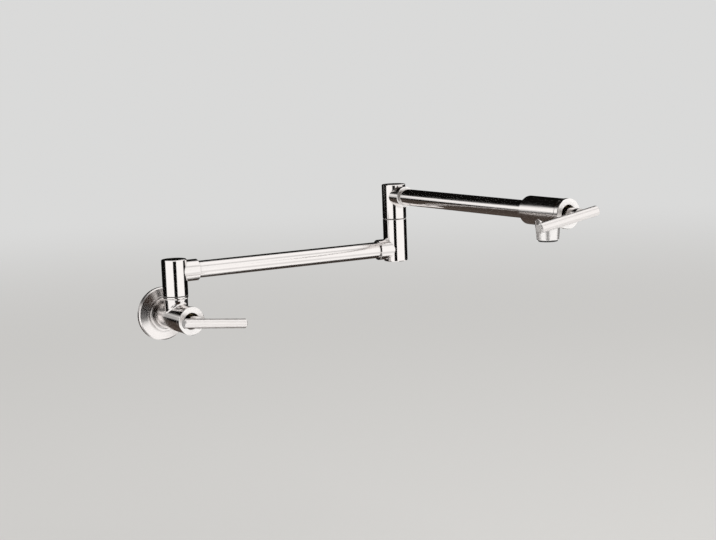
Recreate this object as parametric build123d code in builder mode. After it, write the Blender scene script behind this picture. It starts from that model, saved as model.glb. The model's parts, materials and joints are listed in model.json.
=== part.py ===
"""Wall mounted pot filler: two swinging arms, an inlet valve on the wall and an outlet valve at the spout.

Millimetres. The origin is the centre of the flange's back face, on the wall. +X runs along the wall,
-Y runs out into the room and +Z is up. The arms stand as they do in use: the lower arm beside the wall,
the upper arm straight out of it, both valves open.
"""

import os
from math import cos, radians, sin

from build123d import *

# ---------------------------------------------------------------- layout
column_out = 37.5  # wall to the axis of the swivel column
lower_arm_reach = 282.0  # column axis to elbow axis
upper_arm_reach = 282.0  # elbow axis to spout axis
lower_arm_turn = 4.5  # degrees from the wall, seen from above
upper_arm_turn = 90.5  # degrees from the wall, seen from above
inlet_lever_turn = -7.0  # degrees of the lever's long end above +X, seen from the front
outlet_lever_turn = 188.6  # degrees of the lever's long end, seen from the front
swivel_rise = 24.5  # inlet valve axis to the underside of the swivel column
elbow_drop = 14.6  # lower arm axis to the underside of the elbow socket
inlet_ring_reach = 36.5  # column axis to the face of the inlet bonnet ring
outlet_ring_reach = 33.5  # spout axis to the face of the outlet bonnet ring

# ---------------------------------------------------------------- clearances
running_gap = 0.05  # radial, between a shaft and the bore it turns in
seal_gap = 0.02  # radial, between an O-ring and the bore that runs over it
fixed_gap = 0.02  # between pieces that are screwed, pressed or brazed together
thread_gap = 0.05  # radial, on the supply thread
face_gap = 0.05  # axial, between faces that slide on each other
edge_break = 0.4  # chamfer on machined edges
soft_edge = 0.7  # chamfer on the ends of the columns and of the outlet body

# ---------------------------------------------------------------- wall fitting
supply_thread_radius = 10.48  # half of a G 1/2 male thread
supply_bore_radius = 7.0
nipple_behind_wall = 18.0
nipple_in_body = 15.0
nipple_tip = 1.0  # chamfer on both ends of the thread
nipple_groove_radius = 9.4  # thread relief at the wall
nipple_groove_length = 2.0
supply_washer_thickness = 1.5
flange_radius = 30.0
flange_rim = 3.6
flange_rim_round = 1.2
flange_shoulder_radius = 21.2
flange_height = 8.0
flange_wall = 2.2
flange_neck_wall = 3.4
flange_neck_back = 2.0  # wall to the back of the flange's inner neck
flange_seal_height = 4.0  # wall to the near side of the O-ring groove
flange_seal_width = 2.2
flange_seal_depth = 1.9
lock_ring_radius = 19.0
lock_ring_height = 3.0
lock_ring_recess = 2.0  # depth of the recess in the lock ring's face, round the body
lock_ring_recess_radius = 16.8

# ---------------------------------------------------------------- valve bodies
valve_radius = 15.0
inlet_body_back = 2.0  # wall to the back of the inlet body
chamber_radius = 10.2
gland_radius = 12.0
gland_depth = 24.0  # ring face to the shoulder that the cartridge sits on
seat_depth = 47.0  # ring face to the seat in the water passage
passage_radius = 7.0
branch_radius = 13.2  # waist of the branch that carries the column
branch_waist = 20.6  # inlet valve axis to the top of the waist
branch_fillet = 5.3
carrier_lip = 1.3
outlet_body_back = 28.6  # spout axis to the end of the outlet body that the arm enters
tube_socket_depth = 9.5

# ---------------------------------------------------------------- bonnet ring
ring_radius = 15.5
ring_bore = 9.0
ring_thickness = 5.6
ring_shadow_gap = 0.4
ring_skirt = 6.0

# ---------------------------------------------------------------- ceramic cartridge
cartridge_radius = 9.5
cartridge_neck = 8.0
cartridge_front = 8.0  # ring face to the front of the cartridge neck
cartridge_shoulder = 4.0
seat_seal_thickness = 2.8
seat_seal_bore = 6.2
disc_radius = 7.6
disc_thickness = 3.0
disc_port_radius = 2.2
disc_port_circle = 4.3
window_depth = 33.0  # ring face to the front of the side windows
window_height = 5.0
window_width = 8.0
gland_nut_height = 8.0
gland_slot_width = 3.0
gland_slot_depth = 2.0

# ---------------------------------------------------------------- stem
stem_radius = 4.0
stem_head_radius = 6.8
stem_head_width = 5.0
stem_head_height = 4.0
stem_collar_radius = 6.4
stem_collar_height = 2.0
stem_bore_depth = 30.0  # ring face to the shoulder above the stem's collar
stem_tip = 9.0  # how far the stem stands out of the ring face
stem_seal_depth = 22.0
stem_seal_width = 1.5
stem_seal_groove = 1.1

# ---------------------------------------------------------------- handle
hub_radius = 6.5
hub_back = 7.0  # ring face to the back of the hub
hub_front = 17.0
rod_out = 20.0  # ring face to the axis of the lever rod
rod_radius = 5.2
rod_long_end = 56.0
rod_short_end = 20.2
rod_edge = 1.1
stud_radius = 2.5
stud_back = 12.0
stud_past_axis = 2.5
stud_end_gap = 0.2
set_screw_radius = 1.5
set_screw_out = 5.0
set_screw_sunk = 0.3
set_screw_key = 0.8
set_screw_key_depth = 1.2
key_sides = 6

# ---------------------------------------------------------------- swivel joints
column_radius = 14.0
swivel_height = 40.2
arm_rise = 26.2  # underside of a swivel column to the arm axis
elbow_height = 50.7  # underside of the elbow socket to the underside of the upper swivel column
cavity_radius = 10.0
plug_radius = 10.6
plug_thickness = 4.0
glide_thickness = 0.8
glide_inset = 0.4
spigot_radius = 8.0
spigot_bore = 5.0
spigot_height = 17.0
spigot_base_radius = 7.5
spigot_base_depth = 10.0
elbow_passage = 4.0  # length of the narrow passage below the elbow spigot
seal_heights = (4.0, 8.6)  # carrier face to the near side of each O-ring groove
seal_width = 2.0
seal_depth = 1.5
snap_ring_height = 14.6  # carrier face to the underside of the snap ring
snap_ring_thickness = 1.1
snap_ring_groove = 0.8
snap_ring_radius = 9.3
snap_ring_mouth = 4.0

# ---------------------------------------------------------------- arms
tube_radius = 9.5
tube_wall = 1.3
tube_cope = 10.4  # column axis to the tube's end, which follows the cavity
collar_radius = 12.0
inner_collar_end = 26.8  # column axis to the end of the lower arm's inner collar
outer_collar_end = 24.7  # elbow axis to the end of the lower arm's outer collar
upper_collar_end = 24.6

# ---------------------------------------------------------------- spout and aerator
spout_drop = 29.0  # outlet valve axis to the tip of the spout
spout_joint = 19.0  # outlet valve axis to the joint between the body's boss and the nozzle
spout_root_radius = 14.1  # of the spout's cone, level with the outlet valve axis
spout_tip_radius = 11.5
spout_fillet = 2.5  # between the boss and the body
spout_bore = 6.5
spout_spigot_radius = 8.5
spout_spigot_length = 7.5
aerator_radius = 10.1
aerator_depth = 8.5
aerator_proud = 1.7
aerator_wall = 1.4
aerator_washer_thickness = 1.2
aerator_lip = 0.3
insert_wall = 1.0
insert_bars = 4
insert_bar_width = 0.8
screen_thickness = 0.6
screen_hole = 0.7
screen_step = 2.2
screen_rings = 3
screen_ring_holes = 6  # in the innermost ring

# ---------------------------------------------------------------- worked out from the above
carrier_gap = glide_thickness + face_gap  # carrier face to the underside of the column on it
shoulder_height = snap_ring_height - face_gap - carrier_gap  # in a column, above its underside
swivel_bore = spigot_radius + running_gap
tube_hole = tube_radius + fixed_gap
cartridge_back = seat_depth - seat_seal_thickness
cartridge_bore = disc_radius + running_gap
body_front_depth = ring_thickness + ring_shadow_gap
aerator_bore = aerator_radius - aerator_wall
spout_taper = (spout_root_radius - spout_tip_radius) / spout_drop
spout_joint_radius = spout_root_radius - spout_taper * spout_joint

os.makedirs("parts", exist_ok=True)


# ================================================================ helpers
def save(piece, label):
    piece.part.label = label
    export_step(piece.part, f"parts/{label}.step")


def level_plane(origin, turn):
    """A plane whose normal is level, turned from +X towards the room, with its second direction up."""
    along = (cos(radians(turn)), -sin(radians(turn)), 0)
    across = (sin(radians(turn)), cos(radians(turn)), 0)
    return Plane(origin=origin, x_dir=across, z_dir=along)


def turning_plane(plane):
    """The plane through the normal of a plane: its first direction is radius, its second is height."""
    return Plane(origin=plane.origin, x_dir=plane.x_dir, z_dir=-plane.y_dir)


def axis_of(plane):
    return Axis(plane.origin, plane.z_dir)


def shaft(plane, start, end, radius):
    """Adds a round length to the part being built, between two heights above a plane."""
    with Locations(plane.offset(start)):
        Cylinder(radius, end - start, align=(Align.CENTER, Align.CENTER, Align.MIN))


def cone(plane, start, end, start_radius, end_radius):
    """Adds a tapered length to the part being built, between two heights above a plane."""
    with Locations(plane.offset(start)):
        Cone(start_radius, end_radius, end - start, align=(Align.CENTER, Align.CENTER, Align.MIN))


def bore(plane, start, end, radius):
    """Cuts a round hole in the part being built, between two heights above a plane."""
    with Locations(plane.offset(start)):
        Cylinder(
            radius,
            end - start,
            align=(Align.CENTER, Align.CENTER, Align.MIN),
            mode=Mode.SUBTRACT,
        )


def band(inner, outer, low, high, mode=Mode.ADD):
    """Draws a rectangle in the section being drawn, between two radii and two heights."""
    with Locations((inner, low)):
        Rectangle(outer - inner, high - low, align=(Align.MIN, Align.MIN), mode=mode)


def round_edges(piece, plane, height, radius):
    """The circular edges of the part being built at one height above a plane."""
    found = ShapeList()
    for edge in piece.part.edges().filter_by(GeomType.CIRCLE):
        centre = plane.to_local_coords(edge.arc_center)
        on_axis = abs(centre.X) + abs(centre.Y) < fixed_gap
        if on_axis and abs(centre.Z - height) < fixed_gap and abs(edge.radius - radius) < fixed_gap:
            found.append(edge)
    return found


def ring(label, plane, height, outer, inner, thickness, edge=0):
    """A plain ring that stands at a height above a plane."""
    with BuildPart() as piece:
        shaft(plane, height, height + thickness, outer)
        if edge:
            chamfer(round_edges(piece, plane, height + thickness, outer), edge)
        bore(plane, height, height + thickness, inner)
    save(piece, label)


def o_rings(label, plane, heights, inner, outer):
    """Equal O-rings round the normal of a plane, one centred at each height."""
    section = (outer - inner) / 2
    with BuildPart() as piece:
        with BuildSketch(turning_plane(plane)):
            with Locations(*[(inner + section, height) for height in heights]):
                Circle(section)
        revolve(axis=axis_of(plane))
    save(piece, label)


# ================================================================ planes
wall = level_plane((0, 0, 0), 90)
inlet_face = wall.offset(column_out + inlet_ring_reach)
column_axis = Plane(origin=(0, -column_out, 0))
column_carrier = column_axis.offset(swivel_rise - carrier_gap)
column_base = column_axis.offset(swivel_rise)

lower_arm_level = swivel_rise + arm_rise
lower_arm = level_plane((0, -column_out, lower_arm_level), lower_arm_turn)
elbow = lower_arm.offset(lower_arm_reach).origin
lower_arm_end = level_plane(elbow, lower_arm_turn + 180)
elbow_bottom = Plane(origin=elbow).offset(-elbow_drop)
elbow_carrier = elbow_bottom.offset(elbow_height - carrier_gap)
elbow_base = elbow_bottom.offset(elbow_height)

upper_arm = level_plane(elbow_base.offset(arm_rise).origin, upper_arm_turn)
outlet_axis = upper_arm.offset(upper_arm_reach)
outlet_face = outlet_axis.offset(outlet_ring_reach)
spout_axis = Plane(origin=outlet_axis.origin, z_dir=(0, 0, -1))


# ================================================================ wall fitting
nipple_end = inlet_body_back + nipple_in_body
supply_socket_end = nipple_end + supply_washer_thickness
flange_neck_bore = valve_radius + fixed_gap
flange_neck_radius = flange_neck_bore + flange_neck_wall

with BuildPart() as inlet_nipple:
    with BuildSketch(turning_plane(wall)):
        band(supply_bore_radius, supply_thread_radius, -nipple_behind_wall, nipple_end)
        band(nipple_groove_radius, supply_thread_radius, 0, nipple_groove_length, Mode.SUBTRACT)
    revolve(axis=axis_of(wall))
    chamfer(round_edges(inlet_nipple, wall, -nipple_behind_wall, supply_thread_radius), nipple_tip)
    chamfer(round_edges(inlet_nipple, wall, nipple_end, supply_thread_radius), nipple_tip)
save(inlet_nipple, "inlet_nipple")

ring(
    "inlet_supply_washer",
    wall,
    nipple_end + fixed_gap,
    supply_thread_radius - fixed_gap,
    supply_bore_radius,
    supply_washer_thickness - 2 * fixed_gap,
)

with BuildPart() as wall_flange:
    with BuildSketch(turning_plane(wall)):
        with BuildLine():
            Polyline(
                (flange_radius, 0),
                (flange_radius, flange_rim),
                (flange_radius - flange_rim_round, flange_rim + flange_rim_round),
                (flange_shoulder_radius, flange_height),
                (flange_neck_bore, flange_height),
                (flange_neck_bore, flange_neck_back),
                (flange_neck_radius, flange_neck_back),
                (flange_neck_radius, flange_height - flange_wall),
                (flange_shoulder_radius, flange_height - flange_wall),
                (flange_radius - flange_wall, flange_rim + flange_rim_round - flange_wall),
                (flange_radius - flange_wall, 0),
                close=True,
            )
        make_face()
        band(
            flange_neck_bore,
            flange_neck_bore + flange_seal_depth,
            flange_seal_height,
            flange_seal_height + flange_seal_width,
            Mode.SUBTRACT,
        )
    revolve(axis=axis_of(wall))
save(wall_flange, "wall_flange")

o_rings(
    "flange_o_ring",
    wall,
    [flange_seal_height + flange_seal_width / 2],
    valve_radius + fixed_gap,
    flange_neck_bore + flange_seal_depth - fixed_gap,
)

lock_ring_back = flange_height + fixed_gap
lock_ring_front = lock_ring_back + lock_ring_height
with BuildPart() as flange_lock_ring:
    shaft(wall, lock_ring_back, lock_ring_front, lock_ring_radius)
    chamfer(round_edges(flange_lock_ring, wall, lock_ring_front, lock_ring_radius), edge_break)
    bore(wall, lock_ring_back, lock_ring_front, valve_radius + fixed_gap)
    bore(wall, lock_ring_front - lock_ring_recess, lock_ring_front, lock_ring_recess_radius)
save(flange_lock_ring, "flange_lock_ring")


# ================================================================ inlet valve body
def cut_cartridge_bores(face):
    """Cuts the chamber and the gland bore that a cartridge sits in, behind a ring face."""
    bore(face, -seat_depth, 0, chamber_radius)
    bore(face, -gland_depth, 0, gland_radius)


branch_top = swivel_rise - carrier_gap
inlet_body_front = column_out + inlet_ring_reach - body_front_depth

with BuildPart() as inlet_valve_body:
    shaft(wall, inlet_body_back, inlet_body_front, valve_radius)
    chamfer(round_edges(inlet_valve_body, wall, inlet_body_front, valve_radius), edge_break)
    with BuildSketch(turning_plane(column_axis)):
        with BuildLine():
            Line((0, 0), (branch_radius, 0))
            waist = Line((branch_radius, 0), (branch_radius, branch_waist))
            TangentArc(waist @ 1, (column_radius, branch_top - carrier_lip), tangent=waist % 1)
            Line((column_radius, branch_top - carrier_lip), (column_radius, branch_top))
            Polyline((column_radius, branch_top), (0, branch_top), (0, 0))
        make_face()
    revolve(axis=axis_of(column_axis))
    fillet(inlet_valve_body.edges().filter_by(GeomType.BSPLINE), branch_fillet)
    bore(wall, inlet_body_back, supply_socket_end, supply_thread_radius + thread_gap)
    bore(wall, supply_socket_end, column_out, passage_radius)
    cut_cartridge_bores(inlet_face)
    bore(column_carrier, -spigot_base_depth, 0, spigot_base_radius + fixed_gap)
    bore(column_carrier, -branch_top, 0, spigot_bore)
save(inlet_valve_body, "inlet_valve_body")


# ================================================================ cartridge, bonnet ring and handle
def disc(label, face, back, radius):
    """A ceramic disc with two ports, lying across the water passage."""
    with BuildPart() as piece:
        shaft(face, -back, -back + disc_thickness, radius)
        with Locations(face.offset(-back + disc_thickness)):
            with PolarLocations(disc_port_circle, 2):
                Hole(disc_port_radius, disc_thickness)
    save(piece, label)


def cartridge_set(side, face):
    """What stays still in a valve: seal, fixed disc, cartridge body, gland nut and bonnet ring."""
    ring(
        f"{side}_cartridge_seal",
        face,
        -seat_depth + fixed_gap,
        cartridge_radius,
        seat_seal_bore,
        seat_seal_thickness - 2 * fixed_gap,
    )
    disc(f"{side}_fixed_disc", face, cartridge_back, disc_radius)

    with BuildPart() as cartridge_body:
        shaft(face, -cartridge_back, -gland_depth, cartridge_radius)
        shaft(face, -gland_depth + fixed_gap, -gland_depth + cartridge_shoulder, gland_radius - fixed_gap)
        shaft(face, -gland_depth, -cartridge_front, cartridge_neck)
        chamfer(round_edges(cartridge_body, face, -cartridge_front, cartridge_neck), edge_break)
        bore(face, -cartridge_back, -stem_bore_depth, cartridge_bore)
        bore(face, -cartridge_back, -cartridge_front, stem_radius + running_gap)
        with Locations(face.offset(-window_depth - window_height / 2)):
            Box(2 * chamber_radius, window_width, window_height, mode=Mode.SUBTRACT)
    save(cartridge_body, f"{side}_cartridge_body")

    nut_back = -gland_depth + cartridge_shoulder + fixed_gap
    with BuildPart() as gland_nut:
        shaft(face, nut_back, nut_back + gland_nut_height, gland_radius - fixed_gap)
        bore(face, nut_back, nut_back + gland_nut_height, cartridge_neck + fixed_gap)
        with Locations(face.offset(nut_back + gland_nut_height - gland_slot_depth / 2)):
            Box(2 * gland_radius, gland_slot_width, gland_slot_depth, mode=Mode.SUBTRACT)
    save(gland_nut, f"{side}_gland_nut")

    with BuildPart() as bonnet_ring:
        shaft(face, -ring_thickness, 0, ring_radius)
        chamfer(round_edges(bonnet_ring, face, 0, ring_radius), edge_break)
        chamfer(round_edges(bonnet_ring, face, -ring_thickness, ring_radius), edge_break)
        shaft(face, -ring_thickness - ring_skirt, -ring_thickness, gland_radius - fixed_gap)
        bore(face, -ring_thickness - ring_skirt, 0, ring_bore)
        chamfer(round_edges(bonnet_ring, face, 0, ring_bore), edge_break)
    save(bonnet_ring, f"{side}_bonnet_ring")


def handle_set(side, face, turn, screw_turn):
    """What turns in a valve: disc, stem, O-ring, hub, set screw, stud and lever rod."""
    turning_disc_back = cartridge_back - disc_thickness - face_gap
    disc(f"{side}_turning_disc", face, turning_disc_back, disc_radius)

    stem_back = turning_disc_back - disc_thickness - fixed_gap
    collar_front = -stem_bore_depth - face_gap
    seal_radius = stem_radius - stem_seal_groove
    stem_seal_front = -stem_seal_depth + stem_seal_width
    with BuildPart() as stem:
        with BuildSketch(face.offset(-stem_back)):
            Circle(stem_head_radius)
            Rectangle(stem_head_width, 2 * stem_head_radius, mode=Mode.INTERSECT)
        extrude(amount=stem_head_height)
        with BuildSketch(turning_plane(face)):
            band(0, stem_radius, -stem_back + stem_head_height, stem_tip)
            band(0, stem_collar_radius, collar_front - stem_collar_height, collar_front)
            band(seal_radius, stem_radius, -stem_seal_depth, stem_seal_front, Mode.SUBTRACT)
        revolve(axis=axis_of(face))
        chamfer(round_edges(stem, face, stem_tip, stem_radius), edge_break)
    save(stem, f"{side}_stem")
    o_rings(
        f"{side}_stem_o_ring",
        face,
        [-stem_seal_depth + stem_seal_width / 2],
        seal_radius + fixed_gap,
        stem_radius + running_gap - seal_gap,
    )

    rod_centre = face.offset(rod_out).origin
    along_rod = face.x_dir * cos(radians(turn)) + face.y_dir * sin(radians(turn))
    rod_axis = Plane(origin=rod_centre, x_dir=face.z_dir, z_dir=along_rod)
    along_screw = face.x_dir * cos(radians(screw_turn)) + face.y_dir * sin(radians(screw_turn))
    screw_axis = Plane(origin=face.offset(set_screw_out).origin, x_dir=face.z_dir, z_dir=along_screw)

    with BuildPart() as hub:
        shaft(face, -hub_back, hub_front, hub_radius)
        chamfer(round_edges(hub, face, -hub_back, hub_radius), edge_break)
        bore(face, -hub_back, stem_tip + stud_end_gap, stem_radius + fixed_gap)
        bore(face, stud_back - stud_end_gap, hub_front, stud_radius + fixed_gap)
        bore(rod_axis, -hub_radius, hub_radius, rod_radius + fixed_gap)
        bore(screw_axis, 0, hub_radius, set_screw_radius + fixed_gap)
    save(hub, f"{side}_handle_hub")

    with BuildPart() as set_screw:
        shaft(screw_axis, stem_radius + fixed_gap, hub_radius - set_screw_sunk, set_screw_radius)
        with BuildSketch(screw_axis.offset(hub_radius - set_screw_sunk)):
            RegularPolygon(set_screw_key, key_sides)
        extrude(amount=-set_screw_key_depth, mode=Mode.SUBTRACT)
    save(set_screw, f"{side}_hub_set_screw")

    with BuildPart() as stud:
        shaft(face, stud_back, rod_out + stud_past_axis, stud_radius)
        chamfer(round_edges(stud, face, stud_back, stud_radius), edge_break)
        chamfer(round_edges(stud, face, rod_out + stud_past_axis, stud_radius), edge_break)
    save(stud, f"{side}_lever_stud")

    with BuildPart() as rod:
        shaft(rod_axis, -rod_short_end, rod_long_end, rod_radius)
        chamfer(round_edges(rod, rod_axis, -rod_short_end, rod_radius), rod_edge)
        chamfer(round_edges(rod, rod_axis, rod_long_end, rod_radius), rod_edge)
        bore(face, hub_front - rod_radius, rod_out + stud_past_axis + stud_end_gap, stud_radius + fixed_gap)
    save(rod, f"{side}_lever_rod")


cartridge_set("inlet", inlet_face)
handle_set("inlet", inlet_face, inlet_lever_turn, inlet_lever_turn - 90)


# ================================================================ swivel joints
def spigot_set(joint, carrier):
    """What a swivel column turns on: spigot, two O-rings, glide washer and snap ring."""
    groove_radius = spigot_radius - seal_depth
    snap_radius = spigot_radius - snap_ring_groove
    snap_top = snap_ring_height + snap_ring_thickness
    with BuildPart() as spigot:
        with BuildSketch(turning_plane(carrier)):
            band(spigot_bore, spigot_base_radius, -spigot_base_depth + fixed_gap, 0)
            band(spigot_bore, spigot_radius, 0, spigot_height)
            for height in seal_heights:
                band(groove_radius, spigot_radius, height, height + seal_width, Mode.SUBTRACT)
            snap_groove = (snap_ring_height - fixed_gap, snap_top + fixed_gap)
            band(snap_radius, spigot_radius, *snap_groove, Mode.SUBTRACT)
        revolve(axis=axis_of(carrier))
        chamfer(round_edges(spigot, carrier, spigot_height, spigot_radius), edge_break)
    save(spigot, f"{joint}_spigot")

    o_rings(
        f"{joint}_spigot_o_rings",
        carrier,
        [height + seal_width / 2 for height in seal_heights],
        groove_radius + fixed_gap,
        swivel_bore - seal_gap,
    )
    ring(
        f"{joint}_glide_washer",
        carrier,
        fixed_gap,
        column_radius - glide_inset,
        spigot_radius + fixed_gap,
        glide_thickness - fixed_gap,
    )

    with BuildPart() as snap_ring:
        shaft(carrier, snap_ring_height, snap_top, snap_ring_radius)
        bore(carrier, snap_ring_height, snap_top, snap_radius + fixed_gap)
        with Locations(carrier.offset(snap_ring_height)):
            Box(
                2 * snap_ring_radius,
                snap_ring_mouth,
                2 * snap_ring_thickness,
                align=(Align.MIN, Align.CENTER, Align.CENTER),
                mode=Mode.SUBTRACT,
            )
    save(snap_ring, f"{joint}_snap_ring")


def plug(label, plane):
    """A flush plug that closes the end of a column, from a plane upwards."""
    with BuildPart() as piece:
        shaft(plane, fixed_gap, plug_thickness, plug_radius)
        chamfer(round_edges(piece, plane, plug_thickness, plug_radius), edge_break)
    save(piece, label)


def swivel_column(side, base, turn):
    """A column that turns on a spigot, with a side hole for an arm tube and a plug in its top."""
    plug_seat = swivel_height - plug_thickness
    with BuildPart() as column:
        shaft(base, 0, swivel_height, column_radius)
        chamfer(round_edges(column, base, 0, column_radius), edge_break)
        chamfer(round_edges(column, base, swivel_height, column_radius), soft_edge)
        bore(base, 0, shoulder_height, swivel_bore)
        bore(base, shoulder_height, plug_seat, cavity_radius)
        bore(base, plug_seat, swivel_height, plug_radius + fixed_gap)
        bore(level_plane(base.offset(arm_rise).origin, turn), 0, 2 * column_radius, tube_hole)
    save(column, f"{side}_swivel_column")
    plug(f"{side}_column_plug", base.offset(plug_seat))


def arm_collar(label, arm, end, column_foot, column_top):
    """A collar round a tube, fitted to the side of a column that stands between two heights."""
    with BuildPart() as collar:
        shaft(arm, 0, end, collar_radius)
        chamfer(round_edges(collar, arm, end, collar_radius), edge_break)
        bore(arm, 0, end, tube_hole)
        bore(column_foot, 0, column_top, column_radius + fixed_gap)
    save(collar, label)


spigot_set("column", column_carrier)
swivel_column("lower", column_base, lower_arm_turn)


# ================================================================ lower arm
with BuildPart() as lower_arm_tube:
    shaft(lower_arm, 0, lower_arm_reach, tube_radius)
    bore(lower_arm, 0, lower_arm_reach, tube_radius - tube_wall)
    bore(column_base, 0, swivel_height, tube_cope)
    bore(elbow_bottom, 0, elbow_height, tube_cope)
save(lower_arm_tube, "lower_arm_tube")

arm_collar("lower_arm_inner_collar", lower_arm, inner_collar_end, column_base, swivel_height)
arm_collar("lower_arm_outer_collar", lower_arm_end, outer_collar_end, elbow_bottom, elbow_height)

elbow_socket_height = elbow_height - carrier_gap
elbow_spigot_floor = elbow_socket_height - spigot_base_depth
with BuildPart() as elbow_socket:
    shaft(elbow_bottom, 0, elbow_socket_height, column_radius)
    chamfer(round_edges(elbow_socket, elbow_bottom, 0, column_radius), soft_edge)
    chamfer(round_edges(elbow_socket, elbow_bottom, elbow_socket_height, column_radius), edge_break)
    bore(elbow_bottom, 0, plug_thickness, plug_radius + fixed_gap)
    bore(elbow_bottom, plug_thickness, elbow_spigot_floor - elbow_passage, cavity_radius)
    bore(elbow_bottom, 0, elbow_spigot_floor, spigot_bore)
    bore(elbow_bottom, elbow_spigot_floor, elbow_socket_height, spigot_base_radius + fixed_gap)
    bore(lower_arm_end, 0, 2 * column_radius, tube_hole)
save(elbow_socket, "elbow_socket")

plug("elbow_bottom_plug", Plane(origin=elbow_bottom.offset(plug_thickness).origin, z_dir=(0, 0, -1)))
spigot_set("elbow", elbow_carrier)


# ================================================================ upper arm
tube_end_gap = outlet_body_back - tube_socket_depth + fixed_gap  # tube's end to the spout axis
swivel_column("upper", elbow_base, upper_arm_turn)
arm_collar("upper_arm_collar", upper_arm, upper_collar_end, elbow_base, swivel_height)

with BuildPart() as upper_arm_tube:
    shaft(upper_arm, 0, upper_arm_reach - tube_end_gap, tube_radius)
    bore(upper_arm, 0, upper_arm_reach, tube_radius - tube_wall)
    bore(elbow_base, 0, swivel_height, tube_cope)
save(upper_arm_tube, "upper_arm_tube")

outlet_body_front = outlet_ring_reach - body_front_depth
with BuildPart() as outlet_valve_body:
    shaft(outlet_axis, -outlet_body_back, outlet_body_front, valve_radius)
    chamfer(round_edges(outlet_valve_body, outlet_axis, outlet_body_front, valve_radius), edge_break)
    chamfer(round_edges(outlet_valve_body, outlet_axis, -outlet_body_back, valve_radius), soft_edge)
    cone(spout_axis, 0, spout_joint, spout_root_radius, spout_joint_radius)
    fillet(outlet_valve_body.edges().filter_by(GeomType.BSPLINE), spout_fillet)
    bore(outlet_axis, -outlet_body_back, -outlet_body_back + tube_socket_depth, tube_hole)
    bore(outlet_axis, -outlet_body_back, 0, passage_radius)
    cut_cartridge_bores(outlet_face)
    bore(spout_axis, 0, spout_joint, spout_spigot_radius + fixed_gap)
save(outlet_valve_body, "outlet_valve_body")

cartridge_set("outlet", outlet_face)
handle_set("outlet", outlet_face, outlet_lever_turn, outlet_lever_turn + 90)


# ================================================================ spout and aerator
with BuildPart() as spout_nozzle:
    cone(spout_axis, spout_joint + fixed_gap, spout_drop, spout_joint_radius, spout_tip_radius)
    chamfer(round_edges(spout_nozzle, spout_axis, spout_drop, spout_tip_radius), edge_break)
    shaft(spout_axis, spout_joint - spout_spigot_length, spout_drop, spout_spigot_radius)
    bore(spout_axis, 0, spout_drop, spout_bore)
    bore(spout_axis, spout_drop - aerator_depth, spout_drop, aerator_radius + fixed_gap)
save(spout_nozzle, "spout_nozzle")

aerator_top = spout_drop - aerator_depth + aerator_washer_thickness
aerator_bottom = spout_drop + aerator_proud
ring(
    "aerator_washer",
    spout_axis,
    spout_drop - aerator_depth + fixed_gap,
    aerator_radius - fixed_gap,
    spout_bore,
    aerator_washer_thickness - 2 * fixed_gap,
)

screen_top = aerator_top + aerator_lip
insert_top = screen_top + screen_thickness + fixed_gap
insert_radius = aerator_bore - fixed_gap
with BuildPart() as aerator_screen:
    shaft(spout_axis, screen_top, screen_top + screen_thickness, insert_radius)
    with Locations(spout_axis.offset(screen_top + screen_thickness)):
        Hole(screen_hole, screen_thickness)
        for turn in range(1, screen_rings + 1):
            with PolarLocations(turn * screen_step, turn * screen_ring_holes):
                Hole(screen_hole, screen_thickness)
save(aerator_screen, "aerator_screen")

with BuildPart() as aerator_insert:
    with BuildSketch(spout_axis.offset(insert_top)):
        Circle(insert_radius)
        Circle(insert_radius - insert_wall, mode=Mode.SUBTRACT)
        with PolarLocations(0, insert_bars, angular_range=180):
            Rectangle(2 * insert_radius - insert_wall, insert_bar_width)
    extrude(amount=aerator_bottom - insert_top - aerator_lip)
save(aerator_insert, "aerator_insert")

with BuildPart() as aerator_housing:
    shaft(spout_axis, aerator_top, aerator_bottom, aerator_radius)
    chamfer(round_edges(aerator_housing, spout_axis, aerator_bottom, aerator_radius), edge_break)
    bore(spout_axis, aerator_top, aerator_bottom, aerator_bore)
save(aerator_housing, "aerator_housing")
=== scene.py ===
"""Looks for the wall mounted pot filler: satin nickel outside, brass, rubber and ceramic inside."""

import json
from math import cos, radians, sin

import bpy
from mathutils import Matrix, Vector


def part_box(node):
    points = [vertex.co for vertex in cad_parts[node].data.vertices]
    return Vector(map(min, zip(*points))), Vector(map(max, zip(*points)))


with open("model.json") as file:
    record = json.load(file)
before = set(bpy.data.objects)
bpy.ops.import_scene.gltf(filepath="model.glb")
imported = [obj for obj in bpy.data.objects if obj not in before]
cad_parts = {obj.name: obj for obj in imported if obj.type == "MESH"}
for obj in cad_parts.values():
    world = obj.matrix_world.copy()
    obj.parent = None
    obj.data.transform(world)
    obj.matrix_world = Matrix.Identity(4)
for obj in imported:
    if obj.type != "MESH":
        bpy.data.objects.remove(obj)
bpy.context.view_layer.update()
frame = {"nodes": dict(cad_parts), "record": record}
nodes = frame["nodes"]
joints = {joint["name"]: joint for joint in frame["record"]["behaviour"]["joints"]}

# ---------------------------------------------------------------- camera
CAMERA_AZIMUTH = radians(-32.96)
CAMERA_ELEVATION = radians(8.07)
CAMERA_ROLL = radians(2.154)
CAMERA_PLACE = Vector((-0.73222, -1.53863, 0.28013))
CAMERA_LENS = 76.36
SENSOR_WIDTH = 36.0


def make_camera():
    a, e, r = CAMERA_AZIMUTH, CAMERA_ELEVATION, CAMERA_ROLL
    back = Vector((sin(a) * cos(e), -cos(a) * cos(e), sin(e)))
    level = Vector((cos(a), sin(a), 0))
    upright = back.cross(level)
    right = level * cos(r) - upright * sin(r)
    up = upright * cos(r) + level * sin(r)
    turn = Matrix((right, up, back)).transposed().to_4x4()
    data = bpy.data.cameras.new("camera")
    data.lens = CAMERA_LENS
    data.sensor_width = SENSOR_WIDTH
    camera = bpy.data.objects.new("camera", data)
    camera.matrix_world = Matrix.Translation(CAMERA_PLACE) @ turn
    bpy.context.scene.collection.objects.link(camera)
    bpy.context.scene.camera = camera


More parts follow.
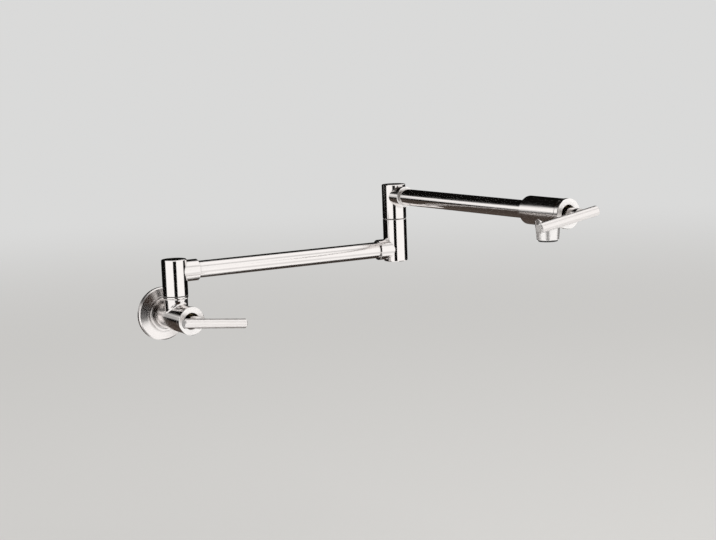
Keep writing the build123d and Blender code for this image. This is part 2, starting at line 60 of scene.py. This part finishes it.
# ---------------------------------------------------------------- shader nodes
NOISE_RANGE = (0.3, 0.7)  # where nearly all of a noise texture's values lie


def add(tree, kind, inputs=None, **settings):
    """Adds a shader node. An input is another node's socket, which is linked, or a value."""
    made = tree.nodes.new("ShaderNode" + kind)
    for name, value in settings.items():
        setattr(made, name, value)
    for name, value in (inputs or {}).items():
        if isinstance(value, bpy.types.NodeSocket):
            tree.links.new(value, made.inputs[name])
        else:
            made.inputs[name].default_value = value
    return made


def new_material(name):
    material = bpy.data.materials.new(name)
    material.use_nodes = True
    tree = material.node_tree
    return material, tree, tree.nodes["Principled BSDF"]


def calculate(tree, operation, *values):
    return add(tree, "Math", dict(enumerate(values)), operation=operation).outputs[0]


def combine(tree, operation, first, second):
    """The vector that an operation on two vectors gives."""
    return add(tree, "VectorMath", {0: first, 1: second}, operation=operation).outputs[0]


def measure(tree, operation, first, second):
    """The number that an operation on two vectors gives, such as their distance."""
    return add(tree, "VectorMath", {0: first, 1: second}, operation=operation).outputs["Value"]


def scale(tree, vector, factor):
    inputs = {0: vector, "Scale": factor}
    return add(tree, "VectorMath", inputs, operation="SCALE").outputs[0]


def blend(tree, share, first, second):
    """A mix of two colours, which a Mix node takes at inputs 6 and 7 and gives at output 2."""
    inputs = {0: share, 6: first, 7: second}
    return add(tree, "Mix", inputs, data_type="RGBA").outputs[2]


def object_place(tree):
    return add(tree, "TexCoord").outputs["Object"]


def noise(tree, vector, size, detail):
    """A noise texture's value, where size is how many of its cells fit in a metre."""
    inputs = {"Vector": vector, "Scale": size, "Detail": detail}
    return add(tree, "TexNoise", inputs).outputs[0]


def span(tree, value, low, high):
    """Spreads a noise value, which stays near a half, between two numbers."""
    start, end = NOISE_RANGE
    inputs = {"Value": value, "From Min": start, "From Max": end, "To Min": low, "To Max": high}
    return add(tree, "MapRange", inputs).outputs[0]


# ---------------------------------------------------------------- light and stage
BACKDROP_COLOUR = (0.70, 0.70, 0.695)
WORLD_COLOUR = (1.0, 0.985, 0.965)
WORLD_LIGHT = 0.78

KEY_COLOUR = (1.0, 0.98, 0.95)
KEY_AZIMUTH = -70
KEY_ELEVATION = 50
KEY_DISTANCE = 2.2
KEY_SIZE = 1.6
KEY_POWER = 16

FLOOR_LEVEL = -0.34
FLOOR_RADIUS = 7.0
FLOOR_CORNERS = 96
FLOOR_ROUGHNESS = 0.9
FLOOR_FADE = (1.6, 4.6)  # metres from the object over which the floor melts into the backdrop

DOME_CENTRE = Vector((0.13, -0.18, 0.05))
DOME_RADIUS = 3.2
DOME_STEP = 1.5  # degrees between the dome's corners

WHITE = Vector((1.10, 1.09, 1.08))
BLACK = Vector((0.004, 0.0037, 0.0034))
UMBER = Vector((0.040, 0.026, 0.020))
TAUPE = Vector((0.078, 0.061, 0.051))

# Studio cards round the object, which only reflections see, each painted over the ones before it.
# A card has its range of azimuth, anticlockwise from +X, the width of the soft edge at either end,
# the same for its range of elevation, all in degrees, and its colour at the foot and at the head.
CARDS = (
    ((-24, 119), (4, 14), (-66, 8), (6, 4), TAUPE, BLACK),
    ((-24, 56), (4, 8), (-70, -46), (4, 4), 0.4 * TAUPE, 0.4 * TAUPE),
    ((-24, 35), (4, 6), (-43, -19), (4, 5), WHITE, WHITE),
    ((102, 158.5), (8, 5), (-17, -2), (4, 4), BLACK, BLACK),
    ((129, 158.5), (5, 5), (-12, 5), (4, 4), BLACK, BLACK),
    ((100, 131), (8, 4), (-66, -12), (6, 5), 0.8 * TAUPE, 0.8 * TAUPE),
    ((30, 116), (16, 8), (-10, 60), (4, 12), BLACK, BLACK),
    ((100, 122), (6, 6), (16.5, 60), (6, 12), BLACK, BLACK),
    ((-150, -80), (8, 8), (4, 64), (6, 10), UMBER, UMBER),
    ((174, 198), (10, 10), (1, 15), (4, 8), UMBER, UMBER),
    ((152, 218), (16, 16), (24, 52), (10, 16), 0.10 * WHITE, 0.10 * WHITE),
    ((152, 232), (16, 16), (-74, -40), (16, 12), 0.22 * WHITE, 0.22 * WHITE),
    ((-75, -30), (8, 8), (36, 50), (6, 6), 0.65 * WHITE, 0.65 * WHITE),
    ((-75, -25), (8, 8), (-40, -20), (6, 6), 0.75 * WHITE, 0.75 * WHITE),
)
CARD_BLEND = (-24, -13)  # elevations between which a card's foot colour turns into its head colour

# A narrow black flag near the object, which gives the columns their dark middle line.
FLAG_CENTRE = Vector((-0.376, -1.060, -0.06))
FLAG_WIDTH = 0.59
FLAG_HEIGHT = 0.76


def direction(azimuth, elevation):
    """A unit vector: azimuth in degrees anticlockwise from +X, elevation above the level."""
    a, e = radians(azimuth), radians(elevation)
    return Vector((cos(a) * cos(e), sin(a) * cos(e), sin(e)))


def ramp(value, low, high):
    """0 below low, 1 above high, and smooth between."""
    t = min(1.0, max(0.0, (value - low) / (high - low)))
    return t * t * (3 - 2 * t)


def inside(value, limits, soft):
    """1 between the limits and 0 outside, with a soft edge of its own width over either limit."""
    low, high = limits
    rise = ramp(value, low - soft[0] / 2, low + soft[0] / 2)
    return rise * (1 - ramp(value, high - soft[1] / 2, high + soft[1] / 2))


def dome_colour(azimuth, elevation):
    """White, or the colour of the cards that cover this direction."""
    colour = WHITE
    for azimuths, sides, elevations, ends, foot, head in CARDS:
        turn = (azimuth - azimuths[0] + 90) % 360 + azimuths[0] - 90
        cover = inside(turn, azimuths, sides) * inside(elevation, elevations, ends)
        card = foot.lerp(head, ramp(elevation, *CARD_BLEND))
        colour = colour.lerp(card, cover)
    return colour


def glowing(name):
    """A material that only shines, its node tree and the input for its colour."""
    material = bpy.data.materials.new(name)
    material.use_nodes = True
    tree = material.node_tree
    tree.nodes.clear()
    glow = add(tree, "Emission")
    add(tree, "OutputMaterial", {"Surface": glow.outputs[0]})
    return material, tree, glow.inputs["Color"]


def show_in_reflections(screen):
    """Puts a studio screen in the scene so that reflections see it, and nothing else does."""
    screen.visible_camera = False
    screen.visible_diffuse = False
    screen.visible_shadow = False
    screen.visible_transmission = False
    bpy.context.scene.collection.objects.link(screen)


def make_dome():
    """A dome that only reflections see: white, with the dark studio cards painted on it."""
    columns = round(360 / DOME_STEP)
    rows = round(180 / DOME_STEP)
    points, colours, faces = [], [], []
    for row in range(rows + 1):
        elevation = -90 + row * DOME_STEP
        for column in range(columns):
            azimuth = column * DOME_STEP
            points.append(DOME_CENTRE + DOME_RADIUS * direction(azimuth, elevation))
            colours += [*dome_colour(azimuth, elevation), 1.0]
    for row in range(rows):
        for column in range(columns):
            first = row * columns + column
            second = row * columns + (column + 1) % columns
            faces.append((first, second, second + columns, first + columns))
    mesh = bpy.data.meshes.new("studio_dome")
    mesh.from_pydata(points, [], faces)
    paint = mesh.color_attributes.new("paint", "FLOAT_COLOR", "POINT")
    paint.data.foreach_set("color", colours)
    material, tree, colour = glowing("studio_dome")
    material.cycles.emission_sampling = "NONE"
    tree.links.new(add(tree, "VertexColor", layer_name="paint").outputs["Color"], colour)
    mesh.materials.append(material)
    show_in_reflections(bpy.data.objects.new("studio_dome", mesh))


def make_flag():
    """A flat black screen that only reflections see."""
    facing = (DOME_CENTRE - FLAG_CENTRE) * Vector((1, 1, 0))
    across = facing.cross(Vector((0, 0, 1))).normalized() * FLAG_WIDTH / 2
    rise = Vector((0, 0, FLAG_HEIGHT / 2))
    corners = ((-1, -1), (1, -1), (1, 1), (-1, 1))
    points = [FLAG_CENTRE + x * across + z * rise for x, z in corners]
    mesh = bpy.data.meshes.new("studio_flag")
    mesh.from_pydata(points, [], [(0, 1, 2, 3)])
    material, tree, colour = glowing("studio_flag")
    colour.default_value = (*BLACK, 1)
    mesh.materials.append(material)
    show_in_reflections(bpy.data.objects.new("studio_flag", mesh))


def make_world():
    """Light for matt surfaces, and a plain backdrop for the camera and for reflections."""
    world = bpy.data.worlds.new("studio")
    world.use_nodes = True
    tree = world.node_tree
    tree.nodes.clear()
    path = add(tree, "LightPath").outputs
    seen = calculate(tree, "MAXIMUM", path["Is Camera Ray"], path["Is Glossy Ray"])
    seen = calculate(tree, "MAXIMUM", seen, path["Is Transmission Ray"])
    light = add(tree, "Background", {"Color": (*WORLD_COLOUR, 1), "Strength": WORLD_LIGHT})
    backdrop = add(tree, "Background", {"Color": (*BACKDROP_COLOUR, 1), "Strength": 1.0})
    mix = add(tree, "MixShader", {0: seen, 1: light.outputs[0], 2: backdrop.outputs[0]})
    add(tree, "OutputWorld", {"Surface": mix.outputs[0]})
    bpy.context.scene.world = world


def make_floor():
    """A round pale floor that melts into the backdrop, so that no horizon shows."""
    mesh = bpy.data.meshes.new("floor")
    corners = []
    for corner in range(FLOOR_CORNERS):
        place = DOME_CENTRE + FLOOR_RADIUS * direction(360 * corner / FLOOR_CORNERS, 0)
        corners.append((place.x, place.y, FLOOR_LEVEL))
    mesh.from_pydata(corners, [], [tuple(range(FLOOR_CORNERS))])
    material, tree, paint = new_material("floor_paint")
    paint.inputs["Base Color"].default_value = (*BACKDROP_COLOUR, 1)
    paint.inputs["Roughness"].default_value = FLOOR_ROUGHNESS
    paint.inputs["Specular IOR Level"].default_value = 0.0
    flat = combine(tree, "MULTIPLY", object_place(tree), (1, 1, 0))
    away = measure(tree, "DISTANCE", flat, (DOME_CENTRE.x, DOME_CENTRE.y, 0))
    limits = {"Value": away, "From Min": FLOOR_FADE[0], "From Max": FLOOR_FADE[1]}
    fade = add(tree, "MapRange", limits, interpolation_type="SMOOTHSTEP").outputs[0]
    clear = add(tree, "BsdfTransparent")
    mix = add(tree, "MixShader", {0: fade, 1: paint.outputs[0], 2: clear.outputs[0]})
    tree.links.new(mix.outputs[0], tree.nodes["Material Output"].inputs["Surface"])
    mesh.materials.append(material)
    floor = bpy.data.objects.new("floor", mesh)
    floor.visible_glossy = False
    bpy.context.scene.collection.objects.link(floor)


def make_key_lamp():
    data = bpy.data.lights.new("key", "AREA")
    data.shape = "DISK"
    data.size = KEY_SIZE
    data.energy = KEY_POWER
    data.color = KEY_COLOUR
    lamp = bpy.data.objects.new("key", data)
    lamp.location = DOME_CENTRE + KEY_DISTANCE * direction(KEY_AZIMUTH, KEY_ELEVATION)
    lamp.rotation_mode = "QUATERNION"
    lamp.rotation_quaternion = (lamp.location - DOME_CENTRE).to_track_quat("Z", "Y")
    lamp.visible_glossy = False
    bpy.context.scene.collection.objects.link(lamp)


# ---------------------------------------------------------------- axes
# An axis is a point and a direction. Every metal piece was turned round one or drawn along one.
LEVER_TILTS = {"inlet": radians(-7.0), "outlet": radians(8.6)}  # how a bar rises towards +X


def joint_axis(name):
    joint = joints[name]
    return Vector(joint["pos_m"]), Vector(joint["axis"])


def middle(node):
    low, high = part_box(node)
    return (Vector(low) + Vector(high)) / 2


lower_arm_reach = middle("lower_arm_outer_collar") - middle("lower_arm_inner_collar")
lower_arm_axis = (middle("lower_arm_tube"), lower_arm_reach)
upper_arm_axis = joint_axis("outlet_handle_turn")
wall_axis = joint_axis("inlet_handle_turn")
column_axis = joint_axis("column_swivel")
elbow_axis = joint_axis("elbow_swivel")
spout_axis = (middle("spout_nozzle"), Vector((0, 0, 1)))


# ---------------------------------------------------------------- materials
NICKEL = (0.88, 0.848, 0.832)
# PALE_NICKEL is painted light: a paler nickel on end faces, the outlet's boss and the spout
PALE_NICKEL = (0.97, 0.95, 0.937)
BRASS = (0.80, 0.62, 0.33)
STEEL = (0.66, 0.66, 0.67)

# How rough each finish is.
FINE_SATIN = 0.10
SATIN = 0.13
SOFT_SATIN = 0.16
FLANGE_SATIN = 0.27
ROD_SATIN = 0.32
PALE_SATIN = 0.30
MACHINED_BRASS = 0.28
BRIGHT_STEEL = 0.3

PALE_METAL = 0.72  # how much of the pale painted-light finish mirrors, and the rest scatters light
BOSS_FADE = (0.0965, 0.1005)  # heights between which the outlet's boss takes the pale finish that is painted light
END_FACE = (0.6, 0.9)  # how squarely a face must lie across an axis to count as an end face

GRAIN_SIZE = 5200.0  # lines in a metre
GRAIN_STRETCH = 0.02  # how much slower a drawn grain changes along its lines
GRAIN_HEIGHT = 0.000004  # metres
GRAIN_STRENGTH = 0.5
GRAIN_BLUR = 0.02  # how far the grain moves the roughness either way
SMUDGE_SIZE = 38.0  # patches in a metre
SMUDGE_BLUR = 0.025  # how far the smudges move it either way
METAL_DETAIL = 3.0

# Painted shade: the distance in metres within which another surface darkens a metal's colour, and
# how much of its colour is left there.
PLATED_CREVICE_SHADE = (0.003, 0.45)
BRASS_CREVICE_SHADE = (0.016, 0.04)
CREVICE_SHADE_SAMPLES = 8

# How much darker than its colour a metal is in its darkest patches.
PLATED_TINT = 0.03
BRASS_TINT = 0.08

PORE_STRENGTH = 0.6
PATCH_BLUR = 0.05  # how far the patches move the roughness either way
MOULDED_DETAIL = 2.0

# Each moulded material's colour, roughness, pores in a metre, their depth in metres, and how much
# darker than its colour its darkest patches are.
MOULDED = {
    "rubber": ((0.03, 0.03, 0.03), 0.65, 2500.0, 0.00002, 0.12),
    "ceramic": ((0.92, 0.92, 0.90), 0.15, 3000.0, 0.000002, 0.03),
    # painted shade: the glide washers are dark grey for the shade in the thin gaps where they sit
    "glide": ((0.16, 0.15, 0.145), 0.5, 1800.0, 0.00001, 0.12),
    "plastic": ((0.035, 0.035, 0.037), 0.45, 2200.0, 0.00001, 0.12),
}


def split(tree, axis):
    """A place, its offset from an axis's point, and the offset's part along the axis twice: as a
    number and as a vector."""
    point, along = axis[0], axis[1].normalized()
    place = object_place(tree)
    offset = combine(tree, "SUBTRACT", place, point)
    height = measure(tree, "DOT_PRODUCT", offset, along)
    return place, offset, height, scale(tree, along, height)


def lathe_grain(tree, axis):
    """Coordinates whose noise is rings round an axis: height along it and distance from it."""
    place, offset, height, foot = split(tree, axis)
    out = measure(tree, "DISTANCE", offset, foot)
    return place, add(tree, "CombineXYZ", {"X": height, "Y": out}).outputs[0]


def drawn_grain(tree, axis):
    """Coordinates whose noise is long lines along an axis."""
    place, offset, _, foot = split(tree, axis)
    across = combine(tree, "SUBTRACT", offset, foot)
    return place, combine(tree, "ADD", across, scale(tree, foot, GRAIN_STRETCH))


def below(low, high):
    """A mask that is 1 below one height and 0 above another."""

    def cover(tree):
        level = add(tree, "SeparateXYZ", {0: object_place(tree)}).outputs["Z"]
        limits = {"Value": level, "From Min": low, "From Max": high, "To Min": 1.0, "To Max": 0.0}
        return add(tree, "MapRange", limits).outputs[0]

    return cover


def end_faces(axis):
    """A mask that is 1 on the faces that lie square across an axis."""

    def cover(tree):
        normal = add(tree, "TexCoord").outputs["Normal"]
        along = measure(tree, "DOT_PRODUCT", normal, axis[1].normalized())
        facing = calculate(tree, "ABSOLUTE", along)
        limits = {"Value": facing, "From Min": END_FACE[0], "From Max": END_FACE[1]}
        return add(tree, "MapRange", limits).outputs[0]

    return cover


def patchy(tree, colour, tint, patches):
    """A colour that a noise makes darker by up to tint."""
    dark = tuple(channel * (1 - tint) for channel in colour)
    return blend(tree, span(tree, patches, 0.0, 1.0), (*dark, 1), (*colour, 1))


def metal(
    name, colour, grain, axis, roughness, tint=PLATED_TINT, crevice_shade=PLATED_CREVICE_SHADE, painted_light=None
):
    """Metal with a fine grain, faint handling marks, a colour that drifts a little, and painted
    shade where other surfaces are near.

    grain is lathe_grain or drawn_grain, and the last argument a mask of where the finish is
    rougher, and painted pale and less mirror-like as painted light.
    """
    material, tree, shader = new_material(name)
    place, lines = grain(tree, axis)
    fine = noise(tree, lines, GRAIN_SIZE, METAL_DETAIL)
    smudge = noise(tree, place, SMUDGE_SIZE, METAL_DETAIL)
    shown = patchy(tree, colour, tint, smudge)
    marks = span(tree, smudge, roughness - SMUDGE_BLUR, roughness + SMUDGE_BLUR)
    blur = calculate(tree, "ADD", marks, span(tree, fine, -GRAIN_BLUR, GRAIN_BLUR))
    shader.inputs["Metallic"].default_value = 1.0
    # painted light: under the mask the colour turns paler and less mirror-like, and the finish
    # rougher
    if painted_light:
        cover = painted_light(tree)
        shown = blend(tree, cover, shown, (*PALE_NICKEL, 1))
        blur = calculate(tree, "MULTIPLY_ADD", cover, PALE_SATIN - roughness, blur)
        mirror = calculate(tree, "MULTIPLY_ADD", cover, PALE_METAL - 1, 1.0)
        tree.links.new(mirror, shader.inputs["Metallic"])
    # painted shade: the colour darkens where other surfaces are near
    reach, left = crevice_shade
    near = add(tree, "AmbientOcclusion", {"Distance": reach}, samples=CREVICE_SHADE_SAMPLES).outputs["AO"]
    shadow = add(tree, "MapRange", {"Value": near, "To Min": left, "To Max": 1.0}).outputs[0]
    relief = {"Height": fine, "Strength": GRAIN_STRENGTH, "Distance": GRAIN_HEIGHT}
    bump = add(tree, "Bump", relief).outputs[0]
    tree.links.new(scale(tree, shown, shadow), shader.inputs["Base Color"])
    tree.links.new(blur, shader.inputs["Roughness"])
    tree.links.new(bump, shader.inputs["Normal"])
    return material


def moulded(name, colour, roughness, pores, depth, tint):
    """Rubber, ceramic or plastic: a fine surface with slight unevenness."""
    material, tree, shader = new_material(name)
    place = object_place(tree)
    fine = noise(tree, place, pores, MOULDED_DETAIL)
    patches = noise(tree, place, SMUDGE_SIZE, MOULDED_DETAIL)
    shown = patchy(tree, colour, tint, patches)
    blur = span(tree, patches, roughness - PATCH_BLUR, roughness + PATCH_BLUR)
    relief = {"Height": fine, "Strength": PORE_STRENGTH, "Distance": depth}
    bump = add(tree, "Bump", relief).outputs[0]
    tree.links.new(shown, shader.inputs["Base Color"])
    tree.links.new(blur, shader.inputs["Roughness"])
    tree.links.new(bump, shader.inputs["Normal"])
    return material


# ---------------------------------------------------------------- which piece takes which material
# Nickel pieces that were turned: their axis, their finish and their names.
TURNED = {
    "flange": (wall_axis, FLANGE_SATIN, ["inlet_nipple", "wall_flange", "flange_lock_ring"]),
    "inlet": (wall_axis, SOFT_SATIN, ["inlet_valve_body"]),
    "column": (column_axis, FINE_SATIN, ["lower_swivel_column", "lower_column_plug"]),
    "lower_arm": (
        lower_arm_axis,
        SOFT_SATIN,
        ["lower_arm_inner_collar", "lower_arm_outer_collar"],
    ),
    "elbow": (
        elbow_axis,
        FINE_SATIN,
        ["elbow_socket", "elbow_bottom_plug", "upper_swivel_column", "upper_column_plug"],
    ),
}
# Turned nickel pieces in plain satin, whose flat ends are rougher and painted pale as painted
# light.
FACED = {
    "inlet_front": (wall_axis, ["inlet_bonnet_ring", "inlet_handle_hub"]),
    "upper_arm": (
        upper_arm_axis,
        ["upper_arm_collar", "outlet_bonnet_ring", "outlet_handle_hub"],
    ),
}
# Nickel pieces that were drawn.
DRAWN = {
    "lower_arm": (lower_arm_axis, SOFT_SATIN, ["lower_arm_tube"]),
    "upper_arm": (upper_arm_axis, SATIN, ["upper_arm_tube"]),
}
BRASS_PIECES = {
    "inlet": (wall_axis, ["inlet_cartridge_body", "inlet_gland_nut", "inlet_stem"]),
    "outlet": (upper_arm_axis, ["outlet_cartridge_body", "outlet_gland_nut", "outlet_stem"]),
    "column": (column_axis, ["column_spigot"]),
    "elbow": (elbow_axis, ["elbow_spigot"]),
}
# The other materials, and how the names of their pieces end.
OTHER_PIECES = {
    "steel": ("snap_ring", "set_screw", "lever_stud", "aerator_screen"),
    "rubber": ("o_ring", "o_rings", "seal", "supply_washer", "aerator_washer"),
    "ceramic": ("_disc",),
    "glide": ("glide_washer",),
    "plastic": ("aerator_insert", "aerator_housing"),
}


def dress(material, names):
    for name in names:
        slots = nodes[name].data.materials
        slots.clear()
        slots.append(material)


def dress_nickel():
    for key, (axis, finish, names) in TURNED.items():
        dress(metal(f"nickel_turned_{key}", NICKEL, lathe_grain, axis, finish), names)
    for key, (axis, names) in FACED.items():
        ends = end_faces(axis)
        nickel = metal(f"nickel_faced_{key}", NICKEL, lathe_grain, axis, SATIN, painted_light=ends)
        dress(nickel, names)
    for key, (axis, finish, names) in DRAWN.items():
        dress(metal(f"nickel_drawn_{key}", NICKEL, drawn_grain, axis, finish), names)
    for side, tilt in LEVER_TILTS.items():
        rod = f"{side}_lever_rod"
        axis = (middle(rod), Vector((cos(tilt), 0, sin(tilt))))
        ends = end_faces(axis)
        nickel = metal(f"nickel_{rod}", NICKEL, drawn_grain, axis, ROD_SATIN, painted_light=ends)
        dress(nickel, [rod])
    # painted light: the outlet's boss and the spout below it take the pale finish
    boss = below(*BOSS_FADE)
    body = metal("nickel_outlet_body", NICKEL, lathe_grain, upper_arm_axis, SATIN, painted_light=boss)
    dress(body, ["outlet_valve_body"])
    spout = metal("nickel_spout", NICKEL, lathe_grain, spout_axis, SATIN, painted_light=boss)
    dress(spout, ["spout_nozzle"])


def dress_inside():
    for key, (axis, names) in BRASS_PIECES.items():
        name = f"brass_{key}"
        # the brass takes a deep painted shade, so that it stays dark inside the bores
        finish = {"tint": BRASS_TINT, "crevice_shade": BRASS_CREVICE_SHADE}
        dress(metal(name, BRASS, lathe_grain, axis, MACHINED_BRASS, **finish), names)
    materials = {"steel": metal("steel", STEEL, lathe_grain, spout_axis, BRIGHT_STEEL)}
    for name, settings in MOULDED.items():
        materials[name] = moulded(name, *settings)
    for key, endings in OTHER_PIECES.items():
        dress(materials[key], [name for name in nodes if name.endswith(endings)])


make_camera()
make_world()
make_dome()
make_flag()
make_floor()
make_key_lamp()
dress_nickel()
dress_inside()

bpy.context.scene.view_settings.view_transform = "Standard"
